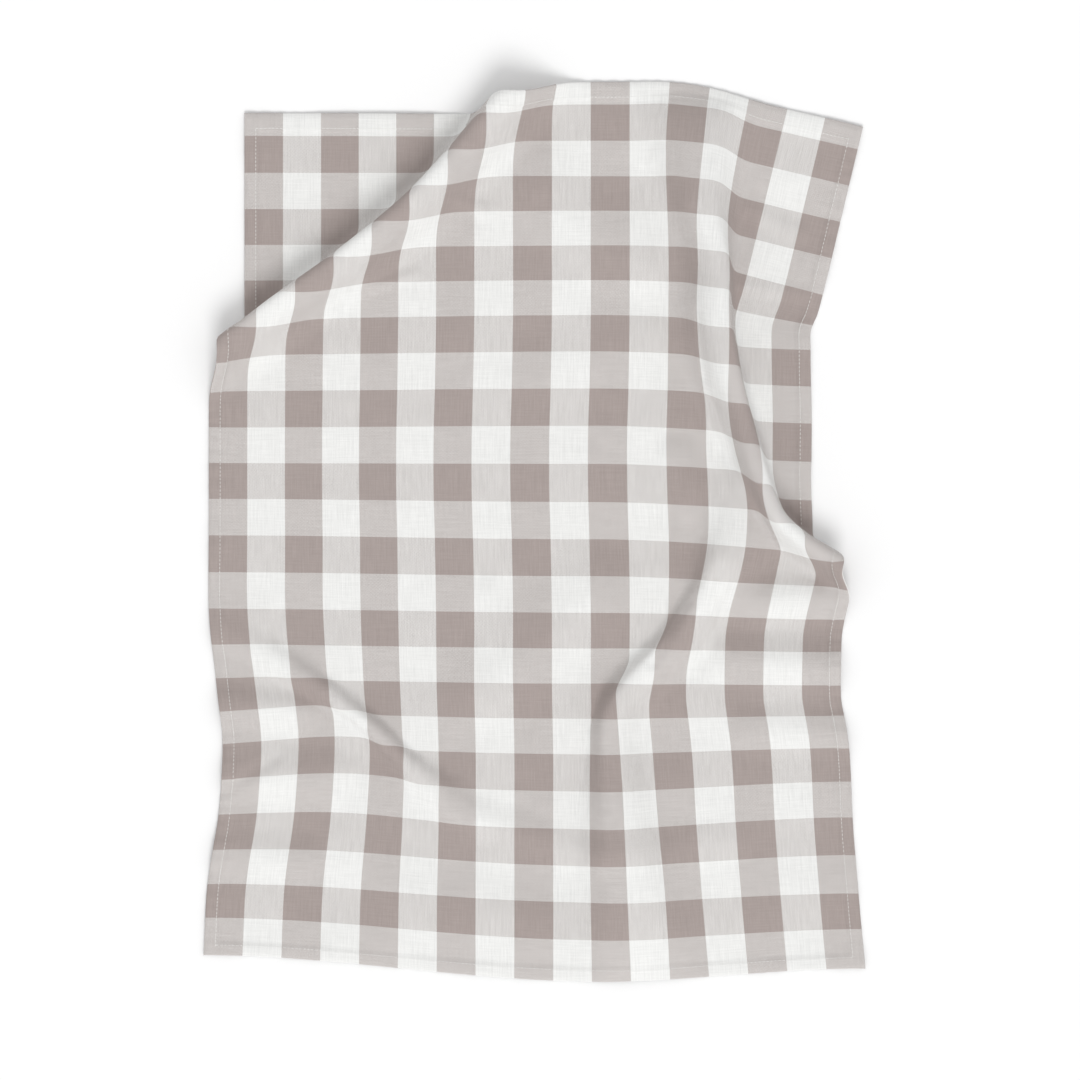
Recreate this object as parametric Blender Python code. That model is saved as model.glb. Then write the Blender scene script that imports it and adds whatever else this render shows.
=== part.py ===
"""A checked cotton tea towel lying on a table, as one cloth solid.

The towel starts as a flat sheet. Named ridges, eases and swells then lay it down: each ridge takes
up some of the cloth, and the spare length decides how high that ridge stands.
Flat sizes are in millimetres, measured across from the left edge and up from the bottom edge.
The finished towel is in metres, +Z up, resting on z = 0 and centred on the origin.
"""
from collections import namedtuple
from math import radians

import bmesh
import bpy
import numpy as np
from mathutils import Vector

MM = 0.001

# The cut and hemmed cloth, before it is laid down.
TOWEL_WIDE = 500.0
TOWEL_LONG = 700.0
CLOTH_THICK = 1.6

# The facets of the flat sheet.
FACETS_ACROSS = 30
FACETS_UP = 42
WELD = 1.0

# How finely a ridge is worked out.
STATIONS = 60
CURVE_POINTS = 25
REACH = 140.0
HEIGHT_LIMIT = 120.0
HALVINGS = 30
LEAST_SPARE = 0.2
FULL_SPARE = 2.0
END_FADE = 40.0

# A section of a ridge: where its crest lies on the flat cloth, and how far in plan the cloth runs
# up to the crest on the side that stays (front) and down again on the side drawn in (back).
Section = namedtuple("Section", "across up front back")

CORNER_RIDGE = [
    Section(250, 735, 44, 14),
    Section(216, 692, 44, 14),
    Section(155, 622, 44, 13),
    Section(100, 575, 43, 12),
    Section(44, 534, 43, 8),
    Section(0, 499, 42, 4),
    Section(-34, 474, 40, 4),
]
SIDE_RIDGE = [
    Section(540, 316, 22, 8),
    Section(499, 342, 24, 6),
    Section(472, 358, 20, 8),
    Section(452, 376, 16, 13),
    Section(441, 400, 17, 15),
    Section(432, 425, 22, 15),
    Section(421, 456, 32, 13),
    Section(411, 495, 43, 14),
    Section(402, 560, 43, 14),
    Section(389, 612, 45, 30),
    Section(378, 670, 60, 50),
    Section(375, 720, 60, 60),
]
LOW_RIDGE = [
    Section(330, -20, 60, 60),
    Section(326, 50, 56, 56),
    Section(318, 120, 36, 44),
    Section(314, 170, 20, 38),
    Section(318, 208, 14, 36),
    Section(339, 238, 13, 34),
    Section(363, 264, 13, 34),
    Section(384, 300, 16, 36),
    Section(400, 342, 28, 40),
    Section(414, 380, 40, 40),
]
DENT_RIDGE = [
    Section(20, 262, 22, 20),
    Section(66, 232, 20, 20),
    Section(110, 196, 16, 14),
    Section(150, 160, 18, 16),
    Section(190, 130, 24, 24),
]

# How far the top left corner is drawn in under its ridge.
CORNER_MOVE = (27.0, -24.5)

# The top right corner is turned about a point, and the strip under it hangs straight down.
TURN = radians(13.5)
TURN_CENTRE = (348.0, 685.0)
STRIP_TOP = 535.0
STRIP_MIDDLE = 440.0
STRIP_BEND = 44.0
STRIP_DRAWN = 2.0
STRIP_SLOPE = 0.02

# How far the low right part is drawn in, by height.
Draw = namedtuple("Draw", "up inward")
LOW_DRAW = [
    Draw(0, 0.0),
    Draw(45, 4.0),
    Draw(100, 8.5),
    Draw(158, 12.5),
    Draw(215, 16.0),
    Draw(272, 15.0),
    Draw(330, 10.0),
    Draw(370, 4.0),
    Draw(430, 0.0),
]

# The nudge in the low left part: its middle, its reach and its size.
DENT_MIDDLE = (100.0, 170.0)
DENT_REACH = (80.0, 70.0)
DENT_MOVE = (2.0, 9.0)

# The slow easing of the cloth out of its flat place, at the left edge, the middle and the right.
LEFT_REACH = 220.0
MIDDLE_ACROSS = 300.0
Ease = namedtuple("Ease", "up left_x left_y middle_x middle_y right_x right_y")
EASES = [
    Ease(0, 0, 20, 0, 0, 1, 10),
    Ease(60, 3, 14, 0, 0, 1, 7),
    Ease(116, 11, 9, 0, -1, 1, 8),
    Ease(173, 14, 5, 0, -1, 2, 4),
    Ease(229, 9, -1, -1, -4, -2, -5),
    Ease(286, 4, -4, -1, -7, -1, -12),
    Ease(343, 4, -5, -2, -8, 6, -18),
    Ease(380, 4, -6, -3, -8, 4, -17),
    Ease(420, 4, -8, -3, -7, 0, -16),
    Ease(456, 4, -9, -2, -7, 0, -15),
    Ease(512, 4, -11, -1, -8, -1, -16),
    Ease(569, 4, -14, -1, -12, 0, -17),
    Ease(640, 4, -17, -1, -17, 0, -17),
    Ease(700, 4, -18, -1, -19, 0, -17),
]

# Low soft swells that only lift the cloth: two ends of the crest, its half width and its height.
Swell = namedtuple("Swell", "across_a up_a across_b up_b half_wide high")
SWELLS = [
    Swell(500, 306, 430, 300, 26, 6.0),
    Swell(500, 246, 420, 250, 28, 5.5),
    Swell(500, 186, 430, 190, 28, 4.5),
    Swell(0, 206, 60, 196, 24, 5.0),
    Swell(0, 146, 84, 142, 26, 5.0),
    Swell(0, 84, 70, 80, 24, 3.5),
    Swell(216, 226, 300, 300, 44, 5.0),
    Swell(360, 404, 392, 336, 24, 4.5),
    Swell(250, 610, 330, 560, 46, 4.0),
    Swell(150, 60, 240, 40, 40, 3.0),
]

# Extra facet lines along the two steep ridges: a line through two points, offsets to its right,
# and the part of the flat cloth that they cross.
FacetLines = namedtuple("FacetLines", "start end offsets low high")
FACET_LINES = [
    FacetLines((216, 692), (0, 499), (-52, -38, -26, -15, -6, 2, 9, 16, 24, 34), (0, 430), (300, 700)),
    FacetLines((406, 400), (406, 700), (-50, -36, -24, -14, -6, 2, 9, 16, 24, 34), (340, 400), (450, 690)),
    FacetLines((499, 343), (430, 440), (-30, -20, -12, -5, 2, 9, 16, 24, 34), (400, 320), (500, 470)),
]


def bezier(steps, points):
    """Points along a cubic curve with four control points."""
    weights = np.stack([(1 - steps) ** 3, 3 * (1 - steps) ** 2 * steps,
                        3 * (1 - steps) * steps ** 2, steps ** 3], axis=1)
    return weights @ np.array(points, dtype=float)


def ridge_profile(front, back, high):
    """The side view of a ridge with its crest at (0, high), its length so far, and that at the crest."""
    steps = np.linspace(0.0, 1.0, CURVE_POINTS)
    overhang = min(max((high - back) / max(high, 1e-6), 0.0), 1.0)
    roll = 0.45 * max(back, 0.0) + 0.30 * high * overhang
    rise = bezier(steps, [(-front, 0), (-0.45 * front, 0), (-0.45 * front, high), (0, high)])
    fall = bezier(steps, [(0, high), (roll, high), (back - roll, 0), (back, 0)])
    points = np.vstack([rise, fall[1:]])
    lengths = np.hypot(*np.diff(points, axis=0).T)
    along = np.concatenate([[0.0], np.cumsum(lengths)])
    return points, along, along[CURVE_POINTS - 1]


def ridge_height(front, back, spare):
    """The height at which the spare cloth is just used up."""
    if spare < LEAST_SPARE / 10:
        return 0.0
    low, high = 0.0, HEIGHT_LIMIT
    for _ in range(HALVINGS):
        middle = (low + high) / 2
        along = ridge_profile(front, back, middle)[1]
        if along[-1] - (front + back) < spare:
            low = middle
        else:
            high = middle
    return (low + high) / 2


def smooth_line(sections):
    """Sections at even steps along a smooth line through the given ones."""
    rows = np.array(sections, dtype=float)
    rows = np.vstack([2 * rows[0] - rows[1], rows, 2 * rows[-1] - rows[-2]])
    place = np.linspace(0.0, len(sections) - 1, STATIONS)
    start = np.minimum(place.astype(int), len(sections) - 2)
    step = (place - start)[:, None]
    a, b, c, d = (rows[start + k] for k in range(4))
    return 0.5 * (2 * b + (c - a) * step + (2 * a - 5 * b + 4 * c - d) * step ** 2
                  + (3 * b - a - 3 * c + d) * step ** 3)


def nearest_on_line(line, across, up):
    """Distance from a line, positive to the right of its travel, the station, and how far past its ends."""
    best = np.full(across.shape, np.inf)
    offset = np.zeros(across.shape)
    station = np.zeros(across.shape)
    past = np.zeros(across.shape)
    last = len(line) - 2
    for i in range(last + 1):
        step = line[i + 1] - line[i]
        length = np.hypot(*step)
        east, north = step / length
        to_across = across - line[i, 0]
        to_up = up - line[i, 1]
        first = -np.inf if i == 0 else 0.0
        final = np.inf if i == last else length
        along = np.clip(to_across * east + to_up * north, first, final)
        distance = np.hypot(to_across - along * east, to_up - along * north)
        side = np.where(to_across * north - to_up * east >= 0, 1.0, -1.0)
        closer = distance < best - 1e-9
        best = np.where(closer, distance, best)
        offset = np.where(closer, side * distance, offset)
        station = np.where(closer, np.clip(i + along / length, 0, last + 1), station)
        past = np.where(closer, np.maximum(np.maximum(-along, along - length), 0.0), past)
    return offset, station, past


def raise_ridge(sections, far_move, across, up):
    """The shift and lift that one ridge gives to points of the flat cloth.

    The cloth beyond the ridge, to the right of its travel, moves by far_move. What that draws in
    across the ridge is its spare cloth, which sets the height at each station.
    """
    stations = smooth_line(sections)
    line = stations[:, :2]
    travel = np.gradient(line, axis=0)
    travel /= np.hypot(travel[:, 0], travel[:, 1])[:, None]
    move_x, move_y = far_move(line[:, 0], line[:, 1])
    spare = np.maximum(-(move_x * travel[:, 1] - move_y * travel[:, 0]), 0.0)
    reach = np.arange(-REACH, REACH + 1.0)
    drawn = np.zeros((STATIONS, len(reach)))
    lift = np.zeros((STATIONS, len(reach)))
    for k in range(STATIONS):
        front, back = stations[k, 2:4]
        high = ridge_height(front, back, spare[k])
        points, along, crest = ridge_profile(front, back, high)
        place = along - crest
        shift = (points[:, 0] + front) - along
        drawn[k] = -np.interp(reach, place, shift)
        lift[k] = np.interp(reach, place, points[:, 1], left=0.0, right=0.0)
    offset, station, past = nearest_on_line(line, across, up)
    k = np.minimum(station.astype(int), STATIONS - 2)
    part = station - k
    column = np.clip(offset, -REACH, REACH) + REACH
    j = np.minimum(column.astype(int), len(reach) - 2)
    share = column - j

    def look_up(table):
        near = table[k, j] * (1 - share) + table[k, j + 1] * share
        far = table[k + 1, j] * (1 - share) + table[k + 1, j + 1] * share
        return near * (1 - part) + far * part

    spare_here = np.interp(station, np.arange(STATIONS), spare)
    front_here = np.interp(station, np.arange(STATIONS), stations[:, 2])
    back_here = np.interp(station, np.arange(STATIONS), stations[:, 3])
    bent = look_up(drawn) / np.maximum(spare_here, LEAST_SPARE)
    level = smooth_step((offset + front_here) / (front_here + back_here))
    trust = np.clip(spare_here / FULL_SPARE, 0, 1)
    share_moved = trust * bent + (1 - trust) * level
    move_x, move_y = far_move(across, up)
    high = look_up(lift) * smooth_step(1 - past / END_FADE)
    return share_moved * move_x, share_moved * move_y, high


def smooth_step(value):
    value = np.clip(value, 0.0, 1.0)
    return value * value * (3 - 2 * value)


def corner_move(across, up):
    return np.full(across.shape, CORNER_MOVE[0]), np.full(across.shape, CORNER_MOVE[1])


def side_move(across, up):
    """The turned top right corner, and the strip that hangs straight down from it."""
    east = across - TURN_CENTRE[0]
    north = up - TURN_CENTRE[1]
    turned_x = east * np.cos(TURN) + north * np.sin(TURN) - east
    turned_y = north * np.cos(TURN) - east * np.sin(TURN) - north
    east = STRIP_MIDDLE - TURN_CENTRE[0]
    north = STRIP_TOP - TURN_CENTRE[1]
    strip_x = east * np.cos(TURN) + north * np.sin(TURN) - east - STRIP_DRAWN
    strip_y = north * np.cos(TURN) - east * np.sin(TURN) - north
    strip_y = strip_y - STRIP_SLOPE * (across - STRIP_MIDDLE)
    below = smooth_step((STRIP_TOP + STRIP_BEND / 2 - up) / STRIP_BEND)
    return turned_x + (strip_x - turned_x) * below, turned_y + (strip_y - turned_y) * below


def low_move(across, up):
    rows = np.array(LOW_DRAW)
    return -np.interp(up, rows[:, 0], rows[:, 1]), np.zeros(up.shape)


def dent_move(across, up):
    share = np.exp(-((across - DENT_MIDDLE[0]) / DENT_REACH[0]) ** 2
                   - ((up - DENT_MIDDLE[1]) / DENT_REACH[1]) ** 2)
    return DENT_MOVE[0] * share, DENT_MOVE[1] * share


def ease(across, up):
    """The slow shift of the cloth, smooth between the rows of EASES."""
    rows = np.array(EASES, dtype=float)
    heights = rows[:, 0]
    values = rows[:, 1:]
    slopes = np.gradient(values, heights, axis=0)
    i = np.clip(np.searchsorted(heights, up) - 1, 0, len(heights) - 2)
    gap = heights[i + 1] - heights[i]
    t = ((up - heights[i]) / gap)[:, None]
    gap = gap[:, None]
    here = ((2 * t ** 3 - 3 * t ** 2 + 1) * values[i] + (t ** 3 - 2 * t ** 2 + t) * gap * slopes[i]
            + (3 * t ** 2 - 2 * t ** 3) * values[i + 1] + (t ** 3 - t ** 2) * gap * slopes[i + 1])
    reach = np.array([LEFT_REACH, MIDDLE_ACROSS])
    left = smooth_step((reach - across[:, None]) / reach)
    right = smooth_step((across - MIDDLE_ACROSS) / (TOWEL_WIDE - MIDDLE_ACROSS))[:, None]
    shift = left * here[:, 0:2] + (1 - left - right) * here[:, 2:4] + right * here[:, 4:6]
    return shift[:, 0], shift[:, 1]


def swell_lift(swell, across, up):
    """A rounded low swell that dies away past the ends of its crest."""
    run = np.array([swell.across_b - swell.across_a, swell.up_b - swell.up_a], dtype=float)
    length = np.hypot(*run)
    east, north = run / length
    along = (across - swell.across_a) * east + (up - swell.up_a) * north
    beside = (across - swell.across_a) * north - (up - swell.up_a) * east
    past = np.maximum(np.maximum(-along, along - length), 0.0)
    distance = np.hypot(beside, past) / swell.half_wide
    return swell.high * smooth_step(1 - distance)


def lay_down(across, up):
    """Where points of the flat cloth lie, in millimetres."""
    x, y = ease(across, up)
    x = x + across
    y = y + up
    z = np.zeros(across.shape)
    for sections, far_move in ((CORNER_RIDGE, corner_move), (SIDE_RIDGE, side_move),
                               (LOW_RIDGE, low_move), (DENT_RIDGE, dent_move)):
        shift_x, shift_y, lift = raise_ridge(sections, far_move, across, up)
        x = x + shift_x
        y = y + shift_y
        z = z + lift
    for swell in SWELLS:
        z = z + swell_lift(swell, across, up)
    return x, y, z


def flat_sheet():
    """The flat cloth in facets, with extra facet lines along the steep ridges."""
    sheet = bmesh.new()
    bmesh.ops.create_grid(sheet, x_segments=FACETS_ACROSS, y_segments=FACETS_UP, size=0.5)
    bmesh.ops.translate(sheet, verts=sheet.verts, vec=(0.5, 0.5, 0))
    bmesh.ops.scale(sheet, verts=sheet.verts, vec=(TOWEL_WIDE, TOWEL_LONG, 1))
    for lines in FACET_LINES:
        start = Vector((*lines.start, 0))
        travel = (Vector((*lines.end, 0)) - start).normalized()
        right = Vector((travel.y, -travel.x, 0))
        for offset in lines.offsets:
            faces = [f for f in sheet.faces if inside(f.calc_center_median(), lines.low, lines.high)]
            edges = {e for f in faces for e in f.edges}
            verts = {v for f in faces for v in f.verts}
            bmesh.ops.bisect_plane(sheet, geom=list(verts) + list(edges) + faces,
                                   plane_co=start + right * offset, plane_no=right)
    bmesh.ops.remove_doubles(sheet, verts=sheet.verts, dist=WELD)
    bmesh.ops.triangulate(sheet, faces=sheet.faces)
    return sheet


def inside(point, low, high):
    return low[0] <= point.x <= high[0] and low[1] <= point.y <= high[1]


def cotton():
    """Plain cotton in the towel's average colour."""
    material = bpy.data.materials.new("checked_cotton")
    material.use_nodes = True
    shader = material.node_tree.nodes["Principled BSDF"]
    shader.inputs["Base Color"].default_value = (0.55, 0.51, 0.48, 1.0)
    shader.inputs["Roughness"].default_value = 0.9
    shader.inputs["Metallic"].default_value = 0.0
    return material


def make_towel():
    sheet = flat_sheet()
    flat = np.array([vertex.co for vertex in sheet.verts])
    x, y, z = lay_down(flat[:, 0], flat[:, 1])
    x = x - (x.min() + x.max()) / 2
    y = y - (y.min() + y.max()) / 2
    z = z + CLOTH_THICK / 2
    for vertex, place in zip(sheet.verts, np.stack([x, y, z], axis=1)):
        vertex.co = Vector(place) * MM
    mesh = bpy.data.meshes.new("towel")
    sheet.to_mesh(mesh)
    sheet.free()
    towel = bpy.data.objects.new("towel", mesh)
    bpy.context.scene.collection.objects.link(towel)
    mesh.materials.append(cotton())
    mesh.shade_smooth()
    thicken = towel.modifiers.new("cloth_thickness", "SOLIDIFY")
    thicken.thickness = CLOTH_THICK * MM
    thicken.offset = 0.0
    return towel


for leftover in list(bpy.data.objects):
    bpy.data.objects.remove(leftover, do_unlink=True)
make_towel()
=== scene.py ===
# %% [markdown]
# # A checked tea towel, laid out on a table
#
# The towel is one piece of plain-woven cotton, 500 by 700 mm, with a narrow hem sewn all round.
# It was dropped on a table by hand, so it isn't flat: its top left corner is tucked under a soft
# ridge, its top right corner is turned and stands in a second ridge, and the lower half waves.
#
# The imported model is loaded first. Its one solid is the towel's true size and place, and the fine
# cloth made here takes its place.

# %% Load the frame
from collections import namedtuple
from math import pi, radians

import bpy
import numpy as np
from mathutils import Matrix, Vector


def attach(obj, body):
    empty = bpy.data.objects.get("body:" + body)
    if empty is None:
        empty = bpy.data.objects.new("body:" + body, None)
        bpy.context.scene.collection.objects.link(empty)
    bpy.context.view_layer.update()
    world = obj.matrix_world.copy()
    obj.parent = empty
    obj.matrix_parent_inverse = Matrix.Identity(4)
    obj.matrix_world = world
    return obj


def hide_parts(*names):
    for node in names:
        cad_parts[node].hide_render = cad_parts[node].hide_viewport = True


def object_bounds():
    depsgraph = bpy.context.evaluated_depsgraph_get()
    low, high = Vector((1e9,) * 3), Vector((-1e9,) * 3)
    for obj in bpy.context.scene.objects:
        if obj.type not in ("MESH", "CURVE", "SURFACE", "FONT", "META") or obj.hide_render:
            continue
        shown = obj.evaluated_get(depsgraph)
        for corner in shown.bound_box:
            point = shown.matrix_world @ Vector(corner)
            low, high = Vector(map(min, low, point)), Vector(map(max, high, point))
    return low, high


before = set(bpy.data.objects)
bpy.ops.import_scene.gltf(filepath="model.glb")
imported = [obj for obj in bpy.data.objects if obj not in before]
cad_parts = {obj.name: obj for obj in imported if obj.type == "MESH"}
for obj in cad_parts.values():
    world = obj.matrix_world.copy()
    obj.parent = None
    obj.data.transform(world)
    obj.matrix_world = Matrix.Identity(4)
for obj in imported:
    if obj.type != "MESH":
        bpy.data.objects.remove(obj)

cad_low, cad_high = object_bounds()
MM = 0.001
print("towel, as packed:", [round(side / MM, 1) for side in cad_high - cad_low], "mm")


def deselect():
    """Nothing selected, so that an operator acts only on what it is meant for."""
    bpy.ops.object.select_all(action="DESELECT")


# %% [markdown]
# ## Floor, light and camera
#
# Cloth shows its folds by soft light that comes a little more from one side. Most of the light here
# is a white sky all round, and a soft sun from the towel's bottom edge models the folds. The view
# transform is Standard, so that white cotton stays white.

# %% The floor
FLOOR_SIDE = 14.0
FLOOR_PAINT = (0.90, 0.90, 0.90, 1)
FLOOR_ROUGH = 0.9

deselect()
bpy.ops.mesh.primitive_plane_add(size=FLOOR_SIDE, location=(0, 0, 0))
floor = bpy.context.object
floor.name = "table_top"
paint = bpy.data.materials.new("pale_table")
paint.use_nodes = True
paint_shader = paint.node_tree.nodes["Principled BSDF"]
paint_shader.inputs["Base Color"].default_value = FLOOR_PAINT
paint_shader.inputs["Roughness"].default_value = FLOOR_ROUGH
floor.data.materials.append(paint)
print("floor:", FLOOR_SIDE, "m square")

# %% The light
SKY_WHITE = (1, 1, 1, 1)
SKY_STRENGTH = 0.78
KEY_STRENGTH = 1.42
KEY_SOFTNESS = radians(28)
KEY_FROM = Vector((0.12, -0.80, 1.0))
KEY_AWAY = 3

sky = bpy.data.worlds.new("studio")
sky.use_nodes = True
sky.node_tree.nodes["Background"].inputs["Color"].default_value = SKY_WHITE
sky.node_tree.nodes["Background"].inputs["Strength"].default_value = SKY_STRENGTH
bpy.context.scene.world = sky
bpy.ops.object.light_add(type="SUN", location=KEY_FROM * KEY_AWAY)
key = bpy.context.object
key.name = "key_light"
key.data.energy = KEY_STRENGTH
key.data.angle = KEY_SOFTNESS
key.rotation_euler = KEY_FROM.to_track_quat("Z", "Y").to_euler()
bpy.context.scene.view_settings.view_transform = "Standard"
print("sky", SKY_STRENGTH, "and sun", KEY_STRENGTH)

# %% The camera, straight above
VIEW_WIDE = 0.818
LENS = 200
VIEW_SHIFT = Vector((0.0042, -0.0064, 0))

centre = (cad_low + cad_high) / 2
deselect()
bpy.ops.object.camera_add()
camera = bpy.context.object
camera.name = "camera_above"
camera.data.lens = LENS
height = VIEW_WIDE * LENS / camera.data.sensor_width
camera.location = Vector((centre.x, centre.y, height)) + VIEW_SHIFT
camera.rotation_euler = (0, 0, 0)
bpy.context.scene.camera = camera
print("camera", round(height, 2), "m above the table")

# %% [markdown]
# ## The flat cloth and where its folds are
#
# A towel is easiest to think of flat, in millimetres across from its left edge and up from its
# bottom edge. Every ridge is then a line of sections along its crest. Each section says how far, in
# plan, the cloth runs up to the crest on the side that stays put, its front, and down again on the
# side that was pushed in, its back.
#
# What makes a ridge is spare cloth: when one part is pushed towards another, the length it gave up
# has to go somewhere, so it stands up. The tables say where and how far, and the heights follow.

# %% Sizes of the flat cloth
TOWEL_WIDE = 500.0
TOWEL_LONG = 700.0

Section = namedtuple("Section", "across up front back")

CORNER_RIDGE = [
    Section(250, 735, 44, 14),
    Section(216, 692, 44, 14),
    Section(155, 622, 44, 13),
    Section(100, 575, 43, 12),
    Section(44, 534, 43, 8),
    Section(0, 499, 42, 4),
    Section(-34, 474, 40, 4),
]
SIDE_RIDGE = [
    Section(540, 316, 22, 8),
    Section(499, 342, 24, 6),
    Section(472, 358, 20, 8),
    Section(452, 376, 16, 13),
    Section(441, 400, 17, 15),
    Section(432, 425, 22, 15),
    Section(421, 456, 32, 13),
    Section(411, 495, 43, 14),
    Section(402, 560, 43, 14),
    Section(389, 612, 45, 30),
    Section(378, 670, 60, 50),
    Section(375, 720, 60, 60),
]
LOW_RIDGE = [
    Section(330, -20, 60, 60),
    Section(326, 50, 56, 56),
    Section(318, 120, 36, 44),
    Section(314, 170, 20, 38),
    Section(318, 208, 14, 36),
    Section(339, 238, 13, 34),
    Section(363, 264, 13, 34),
    Section(384, 300, 16, 36),
    Section(400, 342, 28, 40),
    Section(414, 380, 40, 40),
]
DENT_RIDGE = [
    Section(20, 262, 22, 20),
    Section(66, 232, 20, 20),
    Section(110, 196, 16, 14),
    Section(150, 160, 18, 16),
    Section(190, 130, 24, 24),
]
print("towel", TOWEL_WIDE, "x", TOWEL_LONG, "mm, with 4 ridges")

# %% How far the corners and the strip were pushed
CORNER_MOVE = (27.0, -24.5)

TURN = radians(13.5)
TURN_CENTRE = (348.0, 685.0)
STRIP_TOP = 535.0
STRIP_MIDDLE = 440.0
STRIP_BEND = 44.0
STRIP_DRAWN = 2.0
STRIP_SLOPE = 0.02
print("drawn in at the top left corner:", CORNER_MOVE, "mm")
print("turned at the top right corner:", round(TURN / pi * 180, 1), "degrees")

# %% How far the lower half was drawn in
Draw = namedtuple("Draw", "up inward")
LOW_DRAW = [
    Draw(0, 0.0),
    Draw(45, 4.0),
    Draw(100, 8.5),
    Draw(158, 12.5),
    Draw(215, 16.0),
    Draw(272, 15.0),
    Draw(330, 10.0),
    Draw(370, 4.0),
    Draw(430, 0.0),
]
DENT_MIDDLE = (100.0, 170.0)
DENT_REACH = (80.0, 70.0)
DENT_MOVE = (2.0, 9.0)
print("drawn in at the lower right by up to", max(draw.inward for draw in LOW_DRAW), "mm")

# %% The push on each part, as a function of the flat place
def smooth_step(value):
    """Rises gently from 0 to 1 as the value does, and stays level past both ends."""
    value = np.clip(value, 0.0, 1.0)
    return value * value * (3 - 2 * value)


def corner_move(across, up):
    """The top left corner, drawn in under its ridge."""
    return np.full(across.shape, CORNER_MOVE[0]), np.full(across.shape, CORNER_MOVE[1])


def turn_shift(across, up):
    """How far a point moves when the top right corner is turned about its centre."""
    east = across - TURN_CENTRE[0]
    north = up - TURN_CENTRE[1]
    shift_x = east * np.cos(TURN) + north * np.sin(TURN) - east
    shift_y = north * np.cos(TURN) - east * np.sin(TURN) - north
    return shift_x, shift_y


def side_move(across, up):
    """The turned top right corner, and the strip that hangs straight down from it."""
    turned_x, turned_y = turn_shift(across, up)
    strip_x, strip_y = turn_shift(STRIP_MIDDLE, STRIP_TOP)
    strip_x = strip_x - STRIP_DRAWN
    strip_y = strip_y - STRIP_SLOPE * (across - STRIP_MIDDLE)
    below = smooth_step((STRIP_TOP + STRIP_BEND / 2 - up) / STRIP_BEND)
    return turned_x + (strip_x - turned_x) * below, turned_y + (strip_y - turned_y) * below


def low_move(across, up):
    """The lower right part, drawn in by its table."""
    rows = np.array(LOW_DRAW)
    return -np.interp(up, rows[:, 0], rows[:, 1]), np.zeros(up.shape)


def dent_move(across, up):
    """A nudge in the lower left part."""
    share = np.exp(-((across - DENT_MIDDLE[0]) / DENT_REACH[0]) ** 2
                   - ((up - DENT_MIDDLE[1]) / DENT_REACH[1]) ** 2)
    return DENT_MOVE[0] * share, DENT_MOVE[1] * share


corner_shift = side_move(TOWEL_WIDE, TOWEL_LONG)
print("the top right corner moves by", np.round(corner_shift, 1).tolist(), "mm")

# %% [markdown]
# ## Easing
#
# No hand lays cloth dead straight. Away from the ridges it is off by some millimetres, more in one
# place than in another. The table gives that slow shift at the left edge, near the middle and at the
# right edge, for heights up the towel, and it is smooth in between.

# %% How far the cloth has slipped
LEFT_REACH = 220.0
MIDDLE_ACROSS = 300.0
Ease = namedtuple("Ease", "up left_x left_y middle_x middle_y right_x right_y")
EASES = [
    Ease(0, 0, 20, 0, 0, 1, 10),
    Ease(60, 3, 14, 0, 0, 1, 7),
    Ease(116, 11, 9, 0, -1, 1, 8),
    Ease(173, 14, 5, 0, -1, 2, 4),
    Ease(229, 9, -1, -1, -4, -2, -5),
    Ease(286, 4, -4, -1, -7, -1, -12),
    Ease(343, 4, -5, -2, -8, 6, -18),
    Ease(380, 4, -6, -3, -8, 4, -17),
    Ease(420, 4, -8, -3, -7, 0, -16),
    Ease(456, 4, -9, -2, -7, 0, -15),
    Ease(512, 4, -11, -1, -8, -1, -16),
    Ease(569, 4, -14, -1, -12, 0, -17),
    Ease(640, 4, -17, -1, -17, 0, -17),
    Ease(700, 4, -18, -1, -19, 0, -17),
]


def ease(across, up):
    """The slow shift of the cloth, smooth between the rows of EASES."""
    rows = np.array(EASES, dtype=float)
    heights = rows[:, 0]
    values = rows[:, 1:]
    slopes = np.gradient(values, heights, axis=0)
    i = np.clip(np.searchsorted(heights, up) - 1, 0, len(heights) - 2)
    gap = (heights[i + 1] - heights[i])[:, None]
    t = (up - heights[i])[:, None] / gap
    here = ((2 * t ** 3 - 3 * t ** 2 + 1) * values[i] + (t ** 3 - 2 * t ** 2 + t) * gap * slopes[i]
            + (3 * t ** 2 - 2 * t ** 3) * values[i + 1] + (t ** 3 - t ** 2) * gap * slopes[i + 1])
    reach = np.array([LEFT_REACH, MIDDLE_ACROSS])
    left = smooth_step((reach - across[:, None]) / reach)
    right = smooth_step((across - MIDDLE_ACROSS) / (TOWEL_WIDE - MIDDLE_ACROSS))[:, None]
    shift = left * here[:, 0:2] + (1 - left - right) * here[:, 2:4] + right * here[:, 4:6]
    return shift[:, 0], shift[:, 1]


print(len(EASES), "rows of easing")

# %% [markdown]
# ## Raising a ridge
#
# Seen from its end, a ridge is an S-curve up and an S-curve down. When the back has no room it
# hangs over like a wave. The height is found by halving: too low leaves cloth over, too high needs
# more than there is. Between the sections the line is a smooth curve, and each point of the cloth
# looks up the nearest place on it.

# %% The side view of a ridge
CURVE_POINTS = 25
FRONT_BEND = 0.45
CREST_ROLL = 0.45
OVERHANG_ROLL = 0.30
HEIGHT_LIMIT = 120.0
HALVINGS = 30
NO_SPARE = 0.02
LEAST_HIGH = 1e-6


def bezier(steps, points):
    """Points along a cubic curve with four control points."""
    weights = np.stack([(1 - steps) ** 3, 3 * (1 - steps) ** 2 * steps,
                        3 * (1 - steps) * steps ** 2, steps ** 3], axis=1)
    return weights @ np.array(points, dtype=float)


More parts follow.
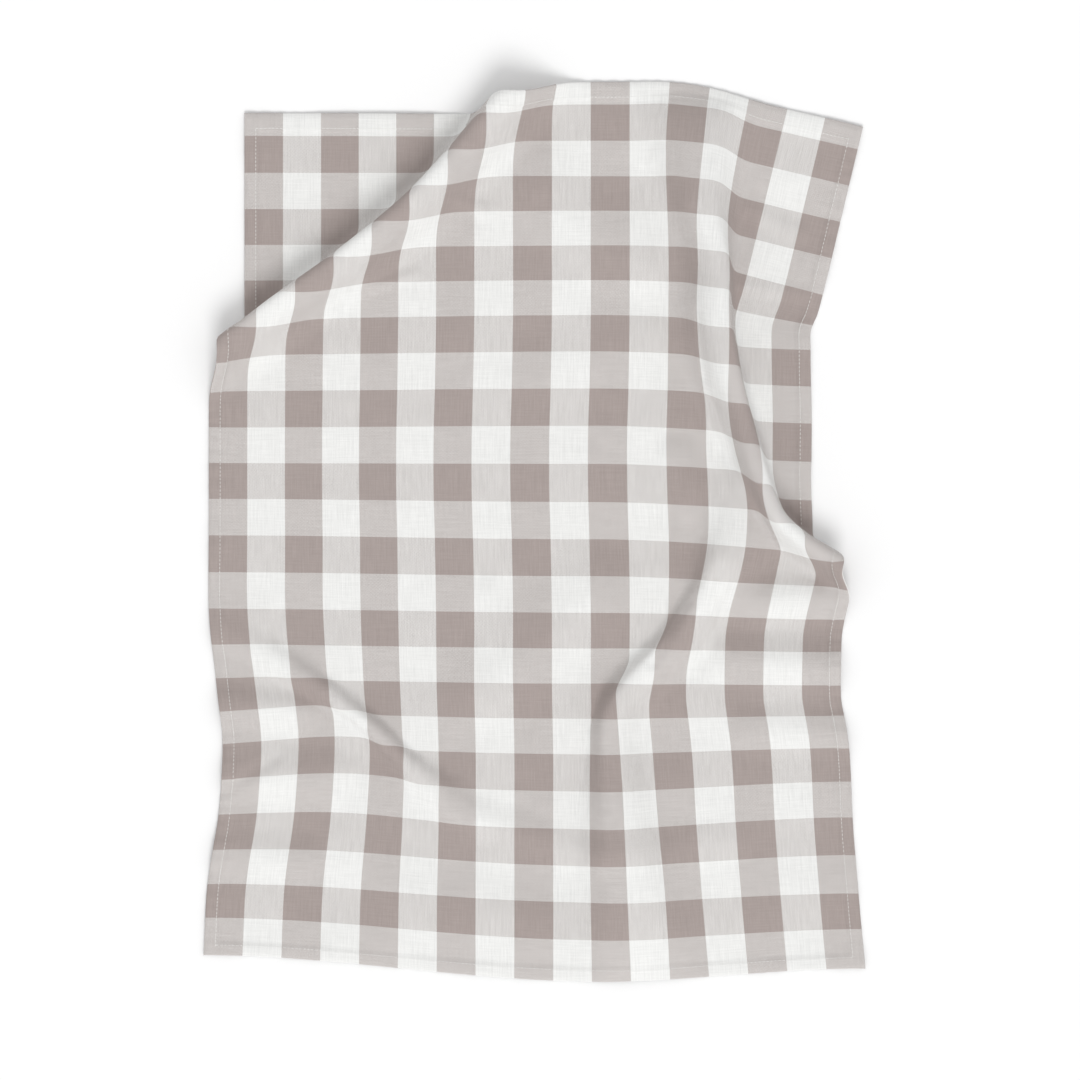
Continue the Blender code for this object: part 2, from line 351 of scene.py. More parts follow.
def ridge_profile(front, back, high):
    """Points of a ridge's side view, crest at (0, high); length along it; that length at the crest."""
    steps = np.linspace(0.0, 1.0, CURVE_POINTS)
    overhang = min(max((high - back) / max(high, LEAST_HIGH), 0.0), 1.0)
    roll = CREST_ROLL * max(back, 0.0) + OVERHANG_ROLL * high * overhang
    bend = -FRONT_BEND * front
    rise = bezier(steps, [(-front, 0), (bend, 0), (bend, high), (0, high)])
    fall = bezier(steps, [(0, high), (roll, high), (back - roll, 0), (back, 0)])
    points = np.vstack([rise, fall[1:]])
    lengths = np.hypot(*np.diff(points, axis=0).T)
    along = np.concatenate([[0.0], np.cumsum(lengths)])
    return points, along, along[CURVE_POINTS - 1]


def ridge_height(front, back, spare):
    """The height at which the spare cloth is just used up."""
    if spare < NO_SPARE:
        return 0.0
    low, high = 0.0, HEIGHT_LIMIT
    for _ in range(HALVINGS):
        middle = (low + high) / 2
        along = ridge_profile(front, back, middle)[1]
        if along[-1] - (front + back) < spare:
            low = middle
        else:
            high = middle
    return (low + high) / 2


print("30 mm spare over 44 + 14 mm stands", round(ridge_height(44, 14, 30), 1), "mm high")

# %% The line of a ridge, and the nearest place on it
STATIONS = 60
CLOSER_BY = 1e-9


def smooth_line(sections):
    """Sections at even steps along a smooth line through the given ones."""
    rows = np.array(sections, dtype=float)
    rows = np.vstack([2 * rows[0] - rows[1], rows, 2 * rows[-1] - rows[-2]])
    place = np.linspace(0.0, len(sections) - 1, STATIONS)
    start = np.minimum(place.astype(int), len(sections) - 2)
    step = (place - start)[:, None]
    a, b, c, d = (rows[start + k] for k in range(4))
    return 0.5 * (2 * b + (c - a) * step + (2 * a - 5 * b + 4 * c - d) * step ** 2
                  + (3 * b - a - 3 * c + d) * step ** 3)


def nearest_on_line(line, across, up):
    """Distance from a line, positive to the right of its travel; the station; distance past its ends."""
    best = np.full(across.shape, np.inf)
    offset = np.zeros(across.shape)
    station = np.zeros(across.shape)
    past = np.zeros(across.shape)
    last = len(line) - 2
    for i in range(last + 1):
        step = line[i + 1] - line[i]
        length = np.hypot(*step)
        east, north = step / length
        to_across = across - line[i, 0]
        to_up = up - line[i, 1]
        first = -np.inf if i == 0 else 0.0
        final = np.inf if i == last else length
        along = np.clip(to_across * east + to_up * north, first, final)
        distance = np.hypot(to_across - along * east, to_up - along * north)
        side = np.where(to_across * north - to_up * east >= 0, 1.0, -1.0)
        closer = distance < best - CLOSER_BY
        best = np.where(closer, distance, best)
        offset = np.where(closer, side * distance, offset)
        station = np.where(closer, np.clip(i + along / length, 0, last + 1), station)
        past = np.where(closer, np.maximum(np.maximum(-along, along - length), 0.0), past)
    return offset, station, past


print("a ridge line has", STATIONS, "stations")

# %% Raising one ridge
REACH = 140.0
END_FADE = 40.0
LEAST_SPARE = 0.2
FULL_SPARE = 2.0


def spare_cloth(line, far_move):
    """The length of cloth that was pushed towards the line, at each of its stations."""
    travel = np.gradient(line, axis=0)
    travel /= np.hypot(travel[:, 0], travel[:, 1])[:, None]
    move_x, move_y = far_move(line[:, 0], line[:, 1])
    return np.maximum(-(move_x * travel[:, 1] - move_y * travel[:, 0]), 0.0)


def ridge_tables(stations, spare):
    """How far the cloth is drawn in, and its height: one row a station, one column a millimetre."""
    reach = np.arange(-REACH, REACH + 1.0)
    drawn = np.zeros((STATIONS, len(reach)))
    lift = np.zeros((STATIONS, len(reach)))
    for k in range(STATIONS):
        front, back = stations[k, 2:4]
        high = ridge_height(front, back, spare[k])
        points, along, crest = ridge_profile(front, back, high)
        place = along - crest
        shift = (points[:, 0] + front) - along
        drawn[k] = -np.interp(reach, place, shift)
        lift[k] = np.interp(reach, place, points[:, 1], left=0.0, right=0.0)
    return drawn, lift


def raise_ridge(sections, far_move, across, up):
    """The shift and lift that one ridge gives to points of the flat cloth."""
    stations = smooth_line(sections)
    line = stations[:, :2]
    spare = spare_cloth(line, far_move)
    drawn, lift = ridge_tables(stations, spare)
    offset, station, past = nearest_on_line(line, across, up)
    k = np.minimum(station.astype(int), STATIONS - 2)
    part = station - k
    column = np.clip(offset, -REACH, REACH) + REACH
    j = np.minimum(column.astype(int), drawn.shape[1] - 2)
    share = column - j

    def look_up(table):
        """Between the four nearest values of a table."""
        near = table[k, j] * (1 - share) + table[k, j + 1] * share
        far = table[k + 1, j] * (1 - share) + table[k + 1, j + 1] * share
        return near * (1 - part) + far * part

    spare_here = np.interp(station, np.arange(STATIONS), spare)
    front_here = np.interp(station, np.arange(STATIONS), stations[:, 2])
    back_here = np.interp(station, np.arange(STATIONS), stations[:, 3])
    bent = look_up(drawn) / np.maximum(spare_here, LEAST_SPARE)
    level = smooth_step((offset + front_here) / (front_here + back_here))
    trust = np.clip(spare_here / FULL_SPARE, 0, 1)
    share_moved = trust * bent + (1 - trust) * level
    move_x, move_y = far_move(across, up)
    high = look_up(lift) * smooth_step(1 - past / END_FADE)
    return share_moved * move_x, share_moved * move_y, high


print("a ridge reaches", REACH, "mm to either side at most")

# %% [markdown]
# ## Swells and small creases
#
# Besides the ridges, laid cloth has low swells that a finger would press flat, small creases, and the
# fine crumple that is left by washing. All of them are low enough that the cloth's width and length
# stay as they are, so they only change its height. A crease is a narrow swell, and where its height is
# less than nothing it is a trough. A hem puckers a little where its seam is tighter than the cloth.

# %% Swells
Swell = namedtuple("Swell", "across_a up_a across_b up_b half_wide high")
SWELLS = [
    Swell(500, 306, 430, 300, 26, 6.0),
    Swell(500, 246, 420, 250, 28, 5.5),
    Swell(500, 186, 430, 190, 28, 4.5),
    Swell(0, 206, 60, 196, 24, 5.0),
    Swell(0, 146, 84, 142, 26, 5.0),
    Swell(0, 84, 70, 80, 24, 3.5),
    Swell(216, 226, 300, 300, 44, 5.0),
    Swell(360, 404, 392, 336, 24, 4.5),
    Swell(250, 610, 330, 560, 46, 4.0),
    Swell(150, 60, 240, 40, 40, 3.0),
]
print(len(SWELLS), "swells, up to", max(swell.high for swell in SWELLS), "mm high")

# %% Creases
CREASES = [
    Swell(352, 246, 378, 298, 7, -2.6),
    Swell(293, 196, 296, 226, 7, -2.4),
    Swell(384, 520, 388, 470, 9, -2.6),
    Swell(392, 452, 408, 415, 8, -2.6),
    Swell(418, 392, 438, 352, 8, -2.8),
    Swell(88, 232, 122, 224, 9, -2.2),
    Swell(132, 205, 156, 172, 10, -2.6),
    Swell(4, 136, 40, 158, 10, -2.0),
    Swell(112, 560, 138, 585, 7, 1.8),
    Swell(126, 536, 160, 548, 7, 1.6),
    Swell(182, 612, 214, 598, 9, 2.0),
    Swell(60, 500, 96, 520, 8, 1.6),
    Swell(346, 640, 372, 604, 12, 2.2),
    Swell(430, 618, 470, 610, 12, 2.2),
    Swell(438, 560, 488, 566, 10, 2.0),
    Swell(300, 96, 410, 104, 22, 2.4),
    Swell(214, 122, 300, 92, 20, 2.6),
]


def swell_lift(swell, across, up):
    """A rounded low swell, or a crease, that dies away past the ends of its line."""
    run = np.array([swell.across_b - swell.across_a, swell.up_b - swell.up_a], dtype=float)
    length = np.hypot(*run)
    east, north = run / length
    along = (across - swell.across_a) * east + (up - swell.up_a) * north
    beside = (across - swell.across_a) * north - (up - swell.up_a) * east
    past = np.maximum(np.maximum(-along, along - length), 0.0)
    distance = np.hypot(beside, past) / swell.half_wide
    return swell.high * smooth_step(1 - distance)


print(len(CREASES), "creases,", sum(crease.high < 0 for crease in CREASES), "of them troughs")

# %% Crumple
Crumple = namedtuple("Crumple", "waves shortest longest high seed")
CRUMPLES = [
    Crumple(9, 55.0, 95.0, 0.50, 3),
    Crumple(14, 18.0, 34.0, 0.12, 8),
]


def crumple_lift(crumple, across, up):
    """Waves in many directions, which add up to an uneven surface."""
    chance = np.random.RandomState(crumple.seed)
    lift = np.zeros(across.shape)
    for _ in range(crumple.waves):
        turn = chance.uniform(0, pi)
        length = chance.uniform(crumple.shortest, crumple.longest)
        phase = chance.uniform(0, 2 * pi)
        along = across * np.cos(turn) + up * np.sin(turn)
        lift = lift + np.sin(2 * pi * along / length + phase)
    return lift * crumple.high / np.sqrt(crumple.waves)


print("crumple", [crumple.high for crumple in CRUMPLES], "mm high")

# %% Hem puckers
PUCKER_HIGH = 0.45
PUCKER_LONG = 11.0
PUCKER_REACH = 20.0

Sway = namedtuple("Sway", "size long edge_phase")
LENGTH_SWAYS = [
    Sway(6.0, 23.0, 1.0),
    Sway(4.0, 41.0, 2.0),
]
HEIGHT_SWAY = Sway(0.4, 57.0, 3.0)


def edge_distance(across, up):
    """How far inside the cloth's nearest edge a point is, how far along that edge, and which it is."""
    sides = np.stack([across, TOWEL_WIDE - across, up, TOWEL_LONG - up])
    nearest = sides.argmin(axis=0)
    along = np.where(nearest < 2, up, across)
    return sides.min(axis=0), along, nearest


def sway_along(sway, along, nearest):
    """A slow wave along an edge, in another phase on each edge."""
    return sway.size * np.sin(along / sway.long + sway.edge_phase * nearest)


def pucker_lift(across, up):
    """Short waves along the hem, uneven in length and height, that die away into the cloth."""
    inside, along, nearest = edge_distance(across, up)
    uneven = sum(sway_along(sway, along, nearest) for sway in LENGTH_SWAYS)
    wave = np.sin(2 * pi * (along + uneven) / PUCKER_LONG)
    height = PUCKER_HIGH * (1 - HEIGHT_SWAY.size + sway_along(HEIGHT_SWAY, along, nearest))
    return height * wave * smooth_step(1 - inside / PUCKER_REACH)


print("puckers", PUCKER_HIGH, "mm high, about every", PUCKER_LONG, "mm")

# %% [markdown]
# ## Laying the cloth down
#
# A cloth simulation could drop the towel on the table, but its folds would come out where chance puts
# them. Here every ridge, swell and crease adds its own shift and height to each point of the flat
# cloth, so the folds lie where they should. The sum gives the underside, which doesn't sink into the
# table, and the fine crumple is added last.

# %% Laying the cloth down
RIDGES = [
    (CORNER_RIDGE, corner_move),
    (SIDE_RIDGE, side_move),
    (LOW_RIDGE, low_move),
    (DENT_RIDGE, dent_move),
]


def lay_down(across, up):
    """Where points of the flat cloth's underside lie, in millimetres."""
    x, y = ease(across, up)
    x = x + across
    y = y + up
    z = np.zeros(across.shape)
    for sections, far_move in RIDGES:
        shift_x, shift_y, lift = raise_ridge(sections, far_move, across, up)
        x = x + shift_x
        y = y + shift_y
        z = z + lift
    for swell in SWELLS + CREASES:
        z = z + swell_lift(swell, across, up)
    fine = sum(crumple_lift(crumple, across, up) for crumple in CRUMPLES) + pucker_lift(across, up)
    return x, y, np.maximum(z, 0.0) + fine


two_ends = lay_down(np.array([0.0, TOWEL_WIDE]), np.array([0.0, TOWEL_LONG]))
print("bottom left and top right corners lie at", np.round(np.stack(two_ends, axis=1), 1).tolist(), "mm")

# %% [markdown]
# ## The towel's cloth
#
# The cloth starts as a grid of small squares. Its lines are gathered at the hems, because the cloth
# is thicker there: a hem is the edge turned to the back twice and pressed. Every corner of the grid is
# then laid down, and the Solidify modifier gives the cloth its thickness, more of it in the hems.
#
# Each corner also keeps its flat place in a UV map, so that the woven checks follow every fold.

# %% The grid, with lines gathered at the hems
HEM_SIDE = 10.0
HEM_TOP = 13.5
HEM_BOTTOM = 10.0
CELLS_ACROSS = 178
CELLS_UP = 256
EDGE_ROUND = 0.7
HEM_SHARES = (0.4, 0.7)
HEM_STEP = 0.7


def hem_lines(hem):
    """Places of the grid's lines in a hem, measured in from the edge."""
    return np.array([0.0, EDGE_ROUND, HEM_SHARES[0] * hem, HEM_SHARES[1] * hem, hem - HEM_STEP])


def grid_lines(length, first_hem, last_hem, cells):
    """Places of the grid's lines: close together at both hems, and even between them."""
    first = hem_lines(first_hem)
    last = length - hem_lines(last_hem)
    left_over = cells + 1 - len(first) - len(last)
    even = np.linspace(first_hem + HEM_STEP, length - last_hem - HEM_STEP, left_over)
    return np.concatenate([first, even, last[::-1]])


lines_across = grid_lines(TOWEL_WIDE, HEM_SIDE, HEM_SIDE, CELLS_ACROSS)
lines_up = grid_lines(TOWEL_LONG, HEM_BOTTOM, HEM_TOP, CELLS_UP)
deselect()
bpy.ops.mesh.primitive_grid_add(x_subdivisions=CELLS_ACROSS, y_subdivisions=CELLS_UP, size=1)
towel = bpy.context.object
towel.name = "towel_cloth"
corners = np.zeros(len(towel.data.vertices) * 3)
towel.data.vertices.foreach_get("co", corners)
corners = corners.reshape(-1, 3)
flat_across = lines_across[np.rint((corners[:, 0] + 0.5) * CELLS_ACROSS).astype(int)]
flat_up = lines_up[np.rint((corners[:, 1] + 0.5) * CELLS_UP).astype(int)]
print("grid of", len(corners), "corners")

# %% The cloth laid down
CLOTH_GAP = 0.25

laid_x, laid_y, laid_z = lay_down(flat_across, flat_up)
outline_x = (laid_x.min() + laid_x.max()) / 2
outline_y = (laid_y.min() + laid_y.max()) / 2
floor_z = laid_z.min() - CLOTH_GAP


def on_the_table(x, y, z):
    """Laid places, centred on the towel's outline and just above the table, in metres."""
    return np.stack([x - outline_x, y - outline_y, z - floor_z], axis=1) * MM


place = on_the_table(laid_x, laid_y, laid_z)
towel.data.vertices.foreach_set("co", place.ravel())
towel.data.update()
print("laid size", np.round(np.ptp(place, axis=0) / MM, 1).tolist(), "mm")

# %% The flat places, kept as a UV map
flat_map = towel.data.uv_layers[0]
flat_map.name = "flat_cloth"
corner_of = np.zeros(len(towel.data.loops), dtype=int)
towel.data.loops.foreach_get("vertex_index", corner_of)
flat = np.stack([flat_across, flat_up], axis=1) * MM
flat_map.data.foreach_set("uv", flat[corner_of].ravel())
print("UV map", flat_map.name, "in metres of flat cloth")

# %% The thickness
CLOTH_THICK = 0.7
HEM_THICK = 1.5
EDGE_THICK = 0.9
SMOOTH_BELOW = radians(60)


def thickness(across, up):
    """The cloth's thickness: one layer, or three in a hem, which is rounded at its very edge."""
    in_side = (across < HEM_SIDE) | (across > TOWEL_WIDE - HEM_SIDE)
    in_ends = (up < HEM_BOTTOM) | (up > TOWEL_LONG - HEM_TOP)
    thick = np.where(in_side | in_ends, HEM_THICK, CLOTH_THICK)
    at_edge = edge_distance(across, up)[0] < EDGE_ROUND / 2
    return np.where(at_edge, EDGE_THICK, thick)


layers = towel.vertex_groups.new(name="layers")
share = thickness(flat_across, flat_up) / HEM_THICK
for level in np.unique(share):
    layers.add(np.flatnonzero(share == level).tolist(), float(level), "REPLACE")
thicken = towel.modifiers.new("thickness", "SOLIDIFY")
thicken.thickness = HEM_THICK * MM
thicken.offset = 1.0
thicken.vertex_group = "layers"
deselect()
towel.select_set(True)
bpy.context.view_layer.objects.active = towel
bpy.ops.object.modifier_apply(modifier="thickness")
bpy.ops.object.shade_smooth_by_angle(angle=SMOOTH_BELOW)
print("cloth", CLOTH_THICK, "mm, hem", HEM_THICK, "mm;", len(towel.data.polygons) * 2, "triangles")

# %% [markdown]
# ## The hem's stitches
#
# The hem is held by one row of white thread all round. One stitch is modelled as a short rounded
# rod, and its copies are set along the row, each lying in the cloth's surface and following its
# slope. A stitch is repeated hundreds of times, so it has few faces.

# %% One stitch
STITCH_LONG = 2.3
STITCH_THICK = 0.45
STITCH_SIDES = 6
STITCH_RINGS = 4


def from_lowest(face):
    """The same face, its corners listed from the lowest number on."""
    first = face.index(min(face))
    return face[first:] + face[:first]


deselect()
bpy.ops.mesh.primitive_uv_sphere_add(segments=STITCH_SIDES, ring_count=STITCH_RINGS, radius=0.5)
stitches = bpy.context.object
stitches.name = "hem_stitches"
bpy.ops.object.mode_set(mode="EDIT")
bpy.ops.mesh.select_all(action="SELECT")
bpy.ops.transform.rotate(value=pi / 2, orient_axis="Y", center_override=(0, 0, 0))
bpy.ops.transform.resize(value=(STITCH_LONG * MM, STITCH_THICK * MM, STITCH_THICK * MM),
                         center_override=(0, 0, 0))
bpy.ops.object.mode_set(mode="OBJECT")
one_stitch = np.array([vertex.co for vertex in stitches.data.vertices])
# The sphere's faces come in no fixed order, so they are sorted to give the same mesh every time.
one_faces = sorted(from_lowest(list(face.vertices)) for face in stitches.data.polygons)
print("one stitch:", len(one_stitch), "corners and", len(one_faces), "faces")

# %% The row of stitches on the laid cloth
SEAM_SIDE = 8.6
SEAM_TOP = 11.8
SEAM_BOTTOM = 8.6
STITCH_PITCH = 3.0
STITCH_PROUD = 0.02
PROBE = 0.5


def seam_points():
    """Middles of the stitches on the flat cloth, and each one's direction there."""
    left, right = SEAM_SIDE, TOWEL_WIDE - SEAM_SIDE
    bottom, top = SEAM_BOTTOM, TOWEL_LONG - SEAM_TOP
    turns = np.array([(left, bottom), (right, bottom), (right, top), (left, top), (left, bottom)])
    middles, ways = [], []
    for start, end in zip(turns, turns[1:]):
        length = np.hypot(*(end - start))
        way = (end - start) / length
        for step in np.arange(STITCH_PITCH / 2, length, STITCH_PITCH):
            middles.append(start + way * step)
            ways.append(way)
    return np.array(middles), np.array(ways)


def laid_place(flat_points):
    """Where points of the flat cloth come to lie on the table."""
    return on_the_table(*lay_down(flat_points[:, 0], flat_points[:, 1]))


def unit(vectors):
    """The same directions, each one long."""
    return vectors / np.linalg.norm(vectors, axis=1)[:, None]


print("one stitch every", STITCH_PITCH, "mm")

# %% Setting the stitches in the cloth
middles, ways = seam_points()
beside = np.stack([-ways[:, 1], ways[:, 0]], axis=1)
along = unit(laid_place(middles + ways * PROBE) - laid_place(middles - ways * PROBE))
sideways = laid_place(middles + beside * PROBE) - laid_place(middles - beside * PROBE)
outward = unit(np.cross(along, sideways))
sideways = np.cross(outward, along)
seat = laid_place(middles) + outward * (HEM_THICK + STITCH_PROUD) * MM
axes = np.stack([along, sideways, outward], axis=1)
stitch_corners = one_stitch @ axes + seat[:, None]
faces = []
for k in range(len(seat)):
    first = k * len(one_stitch)
    faces += [[first + corner for corner in face] for face in one_faces]
stitch_row = bpy.data.meshes.new("hem_stitches")
stitch_row.from_pydata(stitch_corners.reshape(-1, 3).tolist(), [], faces)
stitch_row.shade_smooth()
stitches.data = stitch_row
print(len(seat), "stitches,", len(faces), "faces")

# %% [markdown]
# ## The check and the weave
#
# Taupe and white threads take turns in the warp, which runs up the towel, and again in the weft,
# which runs across. Where both are taupe the square is darkest, and where only one is, the square
# mixes both. The warp covers a little more than the weft, so a warp stripe looks darker than a
# weft band.
#
# Three node groups hold this. The first says where the threads are taupe, the second which thread
# lies on top and how high, and the third how uneven the threads are.

# %% Small helpers for node trees
def add(tree, kind, **settings):
    """A new node of a kind, with its settings."""
    node = tree.nodes.new(kind)
    for name, value in settings.items():
        setattr(node, name, value)
    return node


def math(tree, operation, first, second=None, clamp=False):
    """One Math node; an input is a socket or a number."""
    node = add(tree, "ShaderNodeMath", operation=operation, use_clamp=clamp)
    for socket, value in zip(node.inputs, (first, second)):
        if value is None:
            continue
        if isinstance(value, (int, float)):
            socket.default_value = value
        else:
            tree.links.new(value, socket)
    return node.outputs[0]


def new_group(name, inputs, outputs):
    """An empty node group, its tree, and its input and output nodes."""
    tree = bpy.data.node_groups.new(name, "ShaderNodeTree")
    for socket, kind in inputs:
        tree.interface.new_socket(name=socket, in_out="INPUT", socket_type=kind)
    for socket, kind in outputs:
        tree.interface.new_socket(name=socket, in_out="OUTPUT", socket_type=kind)
    return tree, add(tree, "NodeGroupInput"), add(tree, "NodeGroupOutput")


def place_group(tree, group, **values):
    """A node that uses a group, with numbers or sockets on its inputs."""
    node = add(tree, "ShaderNodeGroup", node_tree=group)
    for name, value in values.items():
        if isinstance(value, (int, float)):
            node.inputs[name].default_value = value
        else:
            tree.links.new(value, node.inputs[name])
    return node


# %% Where the threads are taupe
CHECK_COLUMNS = 17
COLUMN = TOWEL_WIDE * MM / CHECK_COLUMNS
ROW = 28.3 * MM
FIRST_ROW = 31.5 * MM


def checks_group():
    """Stripes of taupe warp and bands of taupe weft, read from the flat place."""
    tree, given, made = new_group("woven_checks", [("Flat", "NodeSocketVector")],
                                  [("Warp Taupe", "NodeSocketFloat"), ("Weft Taupe", "NodeSocketFloat")])
    flat_xyz = add(tree, "ShaderNodeSeparateXYZ")
    tree.links.new(given.outputs["Flat"], flat_xyz.inputs[0])
    across_share = math(tree, "FRACT", math(tree, "DIVIDE", flat_xyz.outputs["X"], 2 * COLUMN))
    warp = math(tree, "LESS_THAN", across_share, 0.5)
    from_first = math(tree, "SUBTRACT", flat_xyz.outputs["Y"], FIRST_ROW)
    up_share = math(tree, "FRACT", math(tree, "DIVIDE", from_first, 2 * ROW))
    weft = math(tree, "MULTIPLY", math(tree, "LESS_THAN", up_share, 0.5),
                math(tree, "GREATER_THAN", from_first, 0.0))
    tree.links.new(warp, made.inputs["Warp Taupe"])
    tree.links.new(weft, made.inputs["Weft Taupe"])
    return tree


checks = checks_group()
print("check", round(COLUMN / MM, 2), "x", round(ROW / MM, 2), "mm")

# %% Which thread is on top
WARP_THREADS = 54
WEFT_THREADS = 50
CROSSING_EDGE = 4.0
THREAD_DIP = 0.4


def thread_height(tree, own_round, other_round):
    """A round thread that dips where it crosses between the other threads."""
    lift = math(tree, "ADD", math(tree, "MULTIPLY", other_round, THREAD_DIP), 1 - THREAD_DIP)
    return math(tree, "MULTIPLY", own_round, lift)


def weave_group():
    """Which thread lies on top, the warp's or the weft's, and how high the threads stand."""
    tree, given, made = new_group(
        "plain_weave",
        [("Flat", "NodeSocketVector"), ("Warp Cover", "NodeSocketFloat")],
        [("Warp On Top", "NodeSocketFloat"), ("Height", "NodeSocketFloat")])
    flat_xyz = add(tree, "ShaderNodeSeparateXYZ")
    tree.links.new(given.outputs["Flat"], flat_xyz.inputs[0])
    from_first = math(tree, "SUBTRACT", flat_xyz.outputs["Y"], FIRST_ROW)
    warp_phase = math(tree, "MULTIPLY", flat_xyz.outputs["X"], pi * WARP_THREADS / COLUMN)
    weft_phase = math(tree, "MULTIPLY", from_first, pi * WEFT_THREADS / ROW)
    warp_wave = math(tree, "SINE", warp_phase)
    weft_wave = math(tree, "SINE", weft_phase)
    crossing = math(tree, "MULTIPLY", warp_wave, weft_wave)
    covered = math(tree, "ADD", crossing, given.outputs["Warp Cover"])
    on_top = math(tree, "ADD", math(tree, "MULTIPLY", covered, CROSSING_EDGE), 0.5, clamp=True)
    warp_round = math(tree, "ABSOLUTE", warp_wave)
    weft_round = math(tree, "ABSOLUTE", weft_wave)
    warp_high = thread_height(tree, warp_round, weft_round)
    weft_high = thread_height(tree, weft_round, warp_round)
    under = math(tree, "MULTIPLY", weft_high, math(tree, "SUBTRACT", 1.0, on_top))
    high = math(tree, "ADD", math(tree, "MULTIPLY", warp_high, on_top), under)
    tree.links.new(on_top, made.inputs["Warp On Top"])
    tree.links.new(high, made.inputs["Height"])
    return tree


weave = weave_group()
print("threads every", round(COLUMN / WARP_THREADS / MM, 3), "and", round(ROW / WEFT_THREADS / MM, 3), "mm")

# %% How uneven the threads are
SLUB_FINE = 900.0
SLUB_LONG = 40.0
SLUB_DETAIL = 3.0
SLUB_ROUGH = 0.7


def slub_group():
    """A tone that runs along each thread, read from whichever thread lies on top."""
    tree, given, made = new_group(
        "uneven_threads",
        [("Flat", "NodeSocketVector"), ("Warp On Top", "NodeSocketFloat")],
        [("Tone", "NodeSocketFloat")])
    tones = []
    for scale in ((SLUB_FINE, SLUB_LONG, 1.0), (SLUB_LONG, SLUB_FINE, 1.0)):
        stretch = add(tree, "ShaderNodeMapping")
        stretch.inputs["Scale"].default_value = scale
        tree.links.new(given.outputs["Flat"], stretch.inputs["Vector"])
        noise = add(tree, "ShaderNodeTexNoise", noise_dimensions="2D")
        noise.inputs["Scale"].default_value = 1.0
        noise.inputs["Detail"].default_value = SLUB_DETAIL
        noise.inputs["Roughness"].default_value = SLUB_ROUGH
        tree.links.new(stretch.outputs["Vector"], noise.inputs["Vector"])
        tones.append(noise.outputs[0])
    warp_tone, weft_tone = tones
    both = add(tree, "ShaderNodeMix", data_type="FLOAT")
    tree.links.new(given.outputs["Warp On Top"], both.inputs[0])
    tree.links.new(weft_tone, both.inputs[2])
    tree.links.new(warp_tone, both.inputs[3])
    tree.links.new(both.outputs[0], made.inputs["Tone"])
    return tree


slubs = slub_group()
print("thread groups:", checks.name, weave.name, slubs.name)

# %% [markdown]
# ## The cotton and the sewing thread
#
# Washed cotton is matt, with a faint down that catches the light at its edges, so its surface is
# rough, shines little and has a thin sheen. A picture of the weave could be wrapped round it, but
# that would blur close up, and the node groups stay sharp at any size. The sewing thread is white, a
# little smoother, and twisted, with painted shade in the grooves of its twist.

# %% The cotton
WHITE_COTTON = (0.800, 0.800, 0.786, 1)
TAUPE_COTTON = (0.372, 0.318, 0.300, 1)
WARP_COVER = 0.11
TONE_SWING = 0.42
WEAVE_DEEP = 0.12 * MM
WEAVE_STRENGTH = 0.7
COTTON_FINISH = {
    "Roughness": 0.92,
    "Specular IOR Level": 0.25,
    "Sheen Weight": 0.08,
    "Sheen Roughness": 0.5,
}


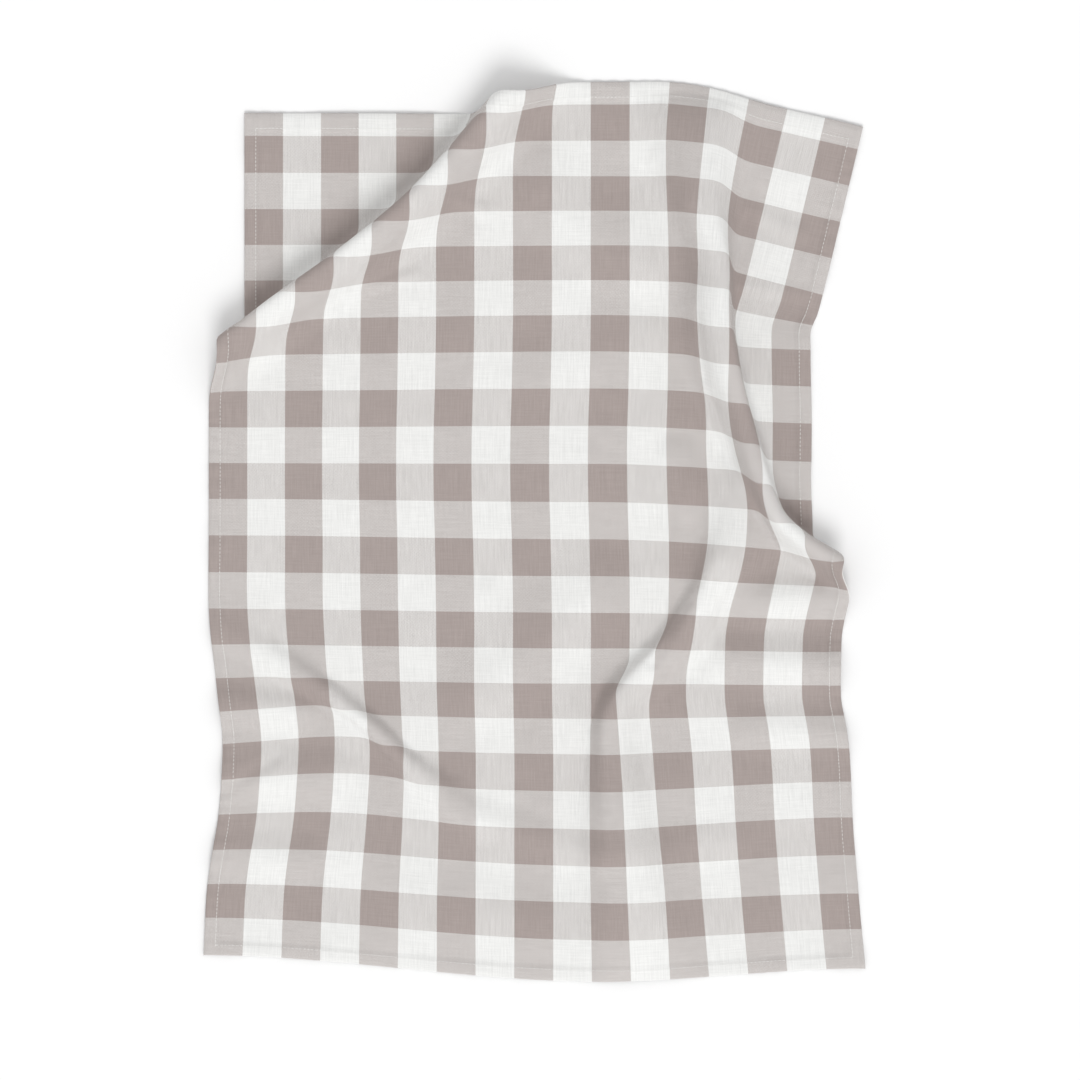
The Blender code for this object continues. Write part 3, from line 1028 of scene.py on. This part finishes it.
def cotton():
    material = bpy.data.materials.new("checked_cotton")
    material.use_nodes = True
    tree = material.node_tree
    shader = tree.nodes["Principled BSDF"]
    flat_place = add(tree, "ShaderNodeUVMap", uv_map="flat_cloth").outputs["UV"]
    taupe = place_group(tree, checks, Flat=flat_place)
    threads = place_group(tree, weave, Flat=flat_place, **{"Warp Cover": WARP_COVER})
    on_top = threads.outputs["Warp On Top"]
    uneven = place_group(tree, slubs, Flat=flat_place, **{"Warp On Top": on_top})
    darkness = add(tree, "ShaderNodeMix", data_type="FLOAT")
    tree.links.new(on_top, darkness.inputs[0])
    tree.links.new(taupe.outputs["Weft Taupe"], darkness.inputs[2])
    tree.links.new(taupe.outputs["Warp Taupe"], darkness.inputs[3])
    colour = add(tree, "ShaderNodeMix", data_type="RGBA")
    colour.inputs[6].default_value = WHITE_COTTON
    colour.inputs[7].default_value = TAUPE_COTTON
    tree.links.new(darkness.outputs[0], colour.inputs[0])
    swing = math(tree, "MULTIPLY", math(tree, "SUBTRACT", uneven.outputs["Tone"], 0.5), TONE_SWING)
    toned = add(tree, "ShaderNodeMix", data_type="RGBA", blend_type="MULTIPLY")
    toned.inputs[0].default_value = 1.0
    grey = add(tree, "ShaderNodeCombineColor")
    for socket in grey.inputs:
        tree.links.new(math(tree, "ADD", swing, 1.0), socket)
    tree.links.new(colour.outputs[2], toned.inputs[6])
    tree.links.new(grey.outputs[0], toned.inputs[7])
    tree.links.new(toned.outputs[2], shader.inputs["Base Color"])
    bump = add(tree, "ShaderNodeBump")
    bump.inputs["Strength"].default_value = WEAVE_STRENGTH
    bump.inputs["Distance"].default_value = WEAVE_DEEP
    lumpy = math(tree, "ADD", threads.outputs["Height"], uneven.outputs["Tone"])
    tree.links.new(lumpy, bump.inputs["Height"])
    tree.links.new(bump.outputs[0], shader.inputs["Normal"])
    for name, value in COTTON_FINISH.items():
        shader.inputs[name].default_value = value
    return material


towel.data.materials.clear()
towel.data.materials.append(cotton())
print("cotton on", towel.name)

# %% The sewing thread
THREAD_WHITE = (0.84, 0.84, 0.82, 1)
# The twist's grooves are coloured darker than the white thread: painted shade where light would not reach.
THREAD_GROOVE_SHADE = (0.756, 0.756, 0.738, 1)
THREAD_ROUGH = 0.7
TWIST_FINE = 900.0
TWIST_UNEVEN = 1.0
TWIST_STRENGTH = 0.4
TWIST_DEEP = 0.05 * MM


def sewing_thread():
    """White thread with its twist as fine slanting ridges, and painted shade in the grooves."""
    material = bpy.data.materials.new("white_thread")
    material.use_nodes = True
    tree = material.node_tree
    shader = tree.nodes["Principled BSDF"]
    place_xyz = add(tree, "ShaderNodeTexCoord").outputs["Object"]
    twist = add(tree, "ShaderNodeTexWave", wave_type="BANDS", bands_direction="DIAGONAL")
    twist.inputs["Scale"].default_value = TWIST_FINE
    twist.inputs["Distortion"].default_value = TWIST_UNEVEN
    tree.links.new(place_xyz, twist.inputs["Vector"])
    # Darker in the twist's grooves and white on its ridges: painted shade, following the bump's bands.
    tone = add(tree, "ShaderNodeMix", data_type="RGBA")
    tone.inputs[6].default_value = THREAD_GROOVE_SHADE
    tone.inputs[7].default_value = THREAD_WHITE
    tree.links.new(twist.outputs["Fac"], tone.inputs[0])
    tree.links.new(tone.outputs[2], shader.inputs["Base Color"])
    bump = add(tree, "ShaderNodeBump")
    bump.inputs["Strength"].default_value = TWIST_STRENGTH
    bump.inputs["Distance"].default_value = TWIST_DEEP
    tree.links.new(twist.outputs["Fac"], bump.inputs["Height"])
    tree.links.new(bump.outputs[0], shader.inputs["Normal"])
    shader.inputs["Roughness"].default_value = THREAD_ROUGH
    return material


stitches.data.materials.append(sewing_thread())
print("thread on", stitches.name)

# %% [markdown]
# ## Handing the pieces to the frame
#
# The cloth stands for the imported towel and rides on its one body, with its stitches.

# %% The pieces
for piece in (towel, stitches):
    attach(piece, "root")
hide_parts("towel")
